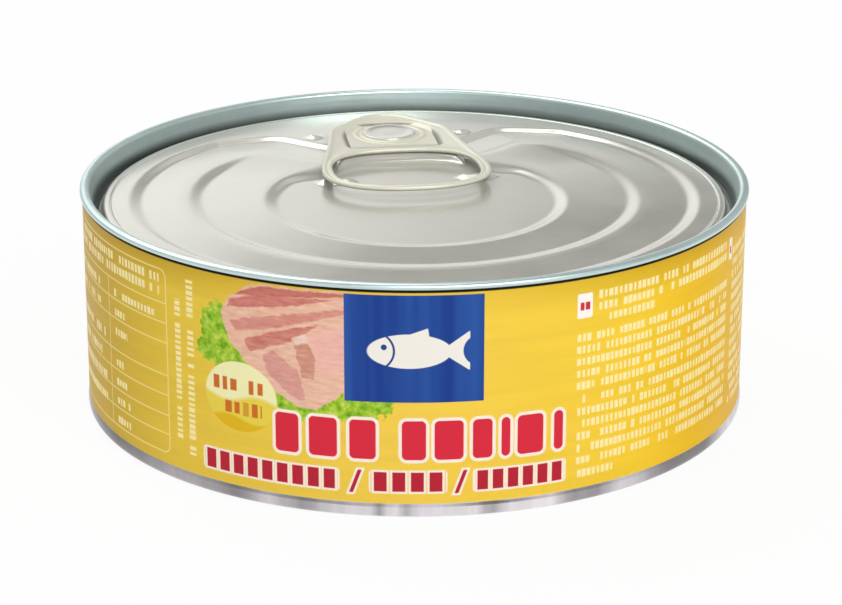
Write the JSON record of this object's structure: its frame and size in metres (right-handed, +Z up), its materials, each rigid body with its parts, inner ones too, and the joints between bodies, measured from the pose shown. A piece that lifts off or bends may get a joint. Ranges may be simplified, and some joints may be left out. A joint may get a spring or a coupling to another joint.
{
  "type": "round tuna can",
  "caption": "Low round metal food can, shut, with a printed side wall, a bare base band, a ringed easy-open end and a riveted pull tab.",
  "frame": {"origin": "centre of the base, on the surface the can stands on", "axes": "+Z up along the can's axis, -Y towards the front of the print, pull tab on the far side"},
  "size_m": [0.087, 0.087, 0.0298],
  "materials": {
    "printed_wall": "glossy print over tinplate, bare bright metal in a band at the base",
    "end_metal": "satin lacquered tinplate, seam with a cool green-grey lacquer",
    "tab_enamel": "satin ivory lacquer"
  },
  "bodies": {
    "root": {"can_body": "printed_wall", "lid": "end_metal", "pull_tab": "tab_enamel"}
  },
  "joints": []
}
